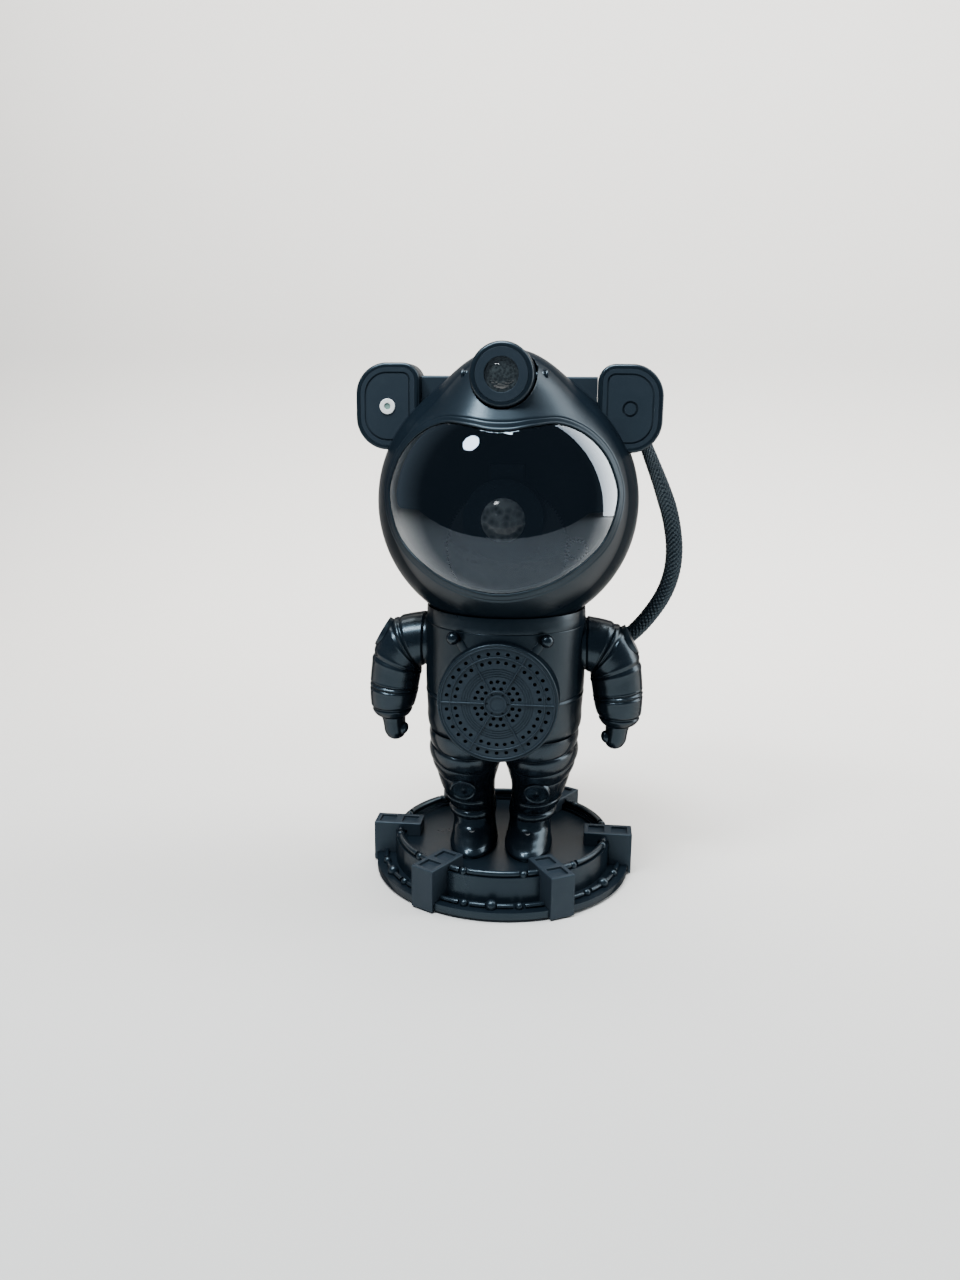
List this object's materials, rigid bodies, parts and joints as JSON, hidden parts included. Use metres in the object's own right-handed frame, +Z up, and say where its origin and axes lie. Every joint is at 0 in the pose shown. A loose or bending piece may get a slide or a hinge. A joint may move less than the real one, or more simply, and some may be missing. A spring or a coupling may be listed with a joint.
{
  "type": "planetarium projector",
  "caption": "Desk-top star and nebula projector shaped as a standing astronaut, with a mirrored visor, a tilting brow barrel, a belly speaker and a round landing-pad base.",
  "frame": {"origin": "centre of the foot pad on the surface the object stands on", "axes": "+Z up, the figure faces -Y, +X is the side of the cable"},
  "size_m": [0.1388, 0.1142, 0.2287],
  "materials": {
    "black_abs": "satin black",
    "matt_black": "fine matt",
    "smoked_visor": "half-mirrored smoke",
    "clear_lens": "polished",
    "steel": "plated",
    "aluminium": "satin",
    "rubber": "matt",
    "circuit_board": "solder mask",
    "braid": "woven polyester sleeve",
    "white_plastic": "gloss",
    "grey_window": "gloss",
    "cone_paper": "coated"
  },
  "bodies": {
    "figure": {"base_platform": "black_abs", "base_clamp_blocks": "black_abs", "base_pipe_upper": "black_abs", "base_pipe_lower": "black_abs", "base_bolts_small": "black_abs", "base_bolts_large": "black_abs", "base_bottom_cover": "black_abs", "base_foot_pad": "rubber", "base_screws": "steel", "left_leg": "black_abs", "right_leg": "black_abs", "torso_front": "black_abs", "torso_rear": "black_abs", "torso_screws": "steel", "chest_studs": "black_abs", "speaker_grille": "matt_black", "speaker_frame": "steel", "neck_collar": "black_abs", "backpack_shell": "black_abs", "control_board": "circuit_board", "usb_socket": "steel", "hose_gland_lower": "rubber", "hose": "braid"},
    "speaker_cone": {"speaker_cone": "cone_paper"},
    "neck_cup": {"neck_cup": "black_abs", "neck_magnet": "steel"},
    "head": {"helmet_front": "black_abs", "helmet_rear": "black_abs", "helmet_screws": "steel", "visor": "smoked_visor", "head_plate": "steel", "left_ear_housing": "black_abs", "right_ear_housing": "black_abs", "left_ear_face": "matt_black", "right_ear_face": "matt_black", "indicator_ring": "white_plastic", "indicator_window": "grey_window", "crossbar": "black_abs", "hose_gland_upper": "rubber", "nebula_barrel": "black_abs", "nebula_lens": "clear_lens", "nebula_motor": "steel", "optics_frame": "black_abs", "led_board": "circuit_board", "heat_sink": "aluminium"},
    "star_barrel": {"star_barrel": "black_abs", "star_bezel": "black_abs", "star_lens": "clear_lens", "star_laser": "black_abs"},
    "nebula_disc": {"nebula_disc": "clear_lens"},
    "nebula_pinion": {"nebula_pinion": "steel"},
    "left_arm": {"left_arm": "black_abs", "left_arm_patch": "black_abs", "left_shoulder_pin": "steel"},
    "right_arm": {"right_arm": "black_abs", "right_arm_patch": "black_abs", "right_shoulder_pin": "steel"},
    "power_button": {"power_button": "black_abs"},
    "mode_button": {"mode_button": "black_abs"}
  },
  "joints": [
    {"name": "head_yaw", "type": "hinge", "parent": "figure", "child": "neck_cup", "pos_m": [0, 0, 0.115], "axis": [0, 0, 1], "range_deg": [-30, 30], "deforming": ["hose"]},
    {"name": "head_tilt", "type": "hinge", "parent": "neck_cup", "child": "head", "pos_m": [0, 0, 0.16501], "axis": [1, 0, 0], "range_deg": [-12, 8], "deforming": ["hose"]},
    {"name": "star_tilt", "type": "hinge", "parent": "head", "child": "star_barrel", "pos_m": [0, -0.0265, 0.21651], "axis": [-1, 0, 0], "range_deg": [0, 25]},
    {"name": "disc_spin", "type": "hinge", "parent": "head", "child": "nebula_disc", "pos_m": [0, -0.0025, 0.14601], "axis": [0, -1, 0], "continuous": true},
    {"name": "pinion_spin", "type": "hinge", "parent": "head", "child": "nebula_pinion", "pos_m": [0.03, -0.0025, 0.14601], "axis": [0, -1, 0], "continuous": true},
    {"name": "left_arm_swing", "type": "hinge", "parent": "figure", "child": "left_arm", "pos_m": [-0.0362, 0, 0.1048], "axis": [-1, 0, 0], "range_deg": [-30, 90]},
    {"name": "right_arm_swing", "type": "hinge", "parent": "figure", "child": "right_arm", "pos_m": [0.0362, 0, 0.1048], "axis": [-1, 0, 0], "range_deg": [-30, 90]},
    {"name": "power_press", "type": "slide", "parent": "figure", "child": "power_button", "axis": [0, -1, 0], "range_m": [0, 0.001], "stiffness_N_per_m": 800, "springref_m": -0.0003},
    {"name": "mode_press", "type": "slide", "parent": "figure", "child": "mode_button", "axis": [0, -1, 0], "range_m": [0, 0.001], "stiffness_N_per_m": 800, "springref_m": -0.0003},
    {"name": "cone_travel", "type": "slide", "parent": "figure", "child": "speaker_cone", "axis": [0, -1, 0], "range_m": [-0.0006, 0.0006], "stiffness_N_per_m": 1500}
  ],
  "couplings": [
    {"joint": "pinion_spin", "follows": "disc_spin", "ratio": -6.5}
  ]
}
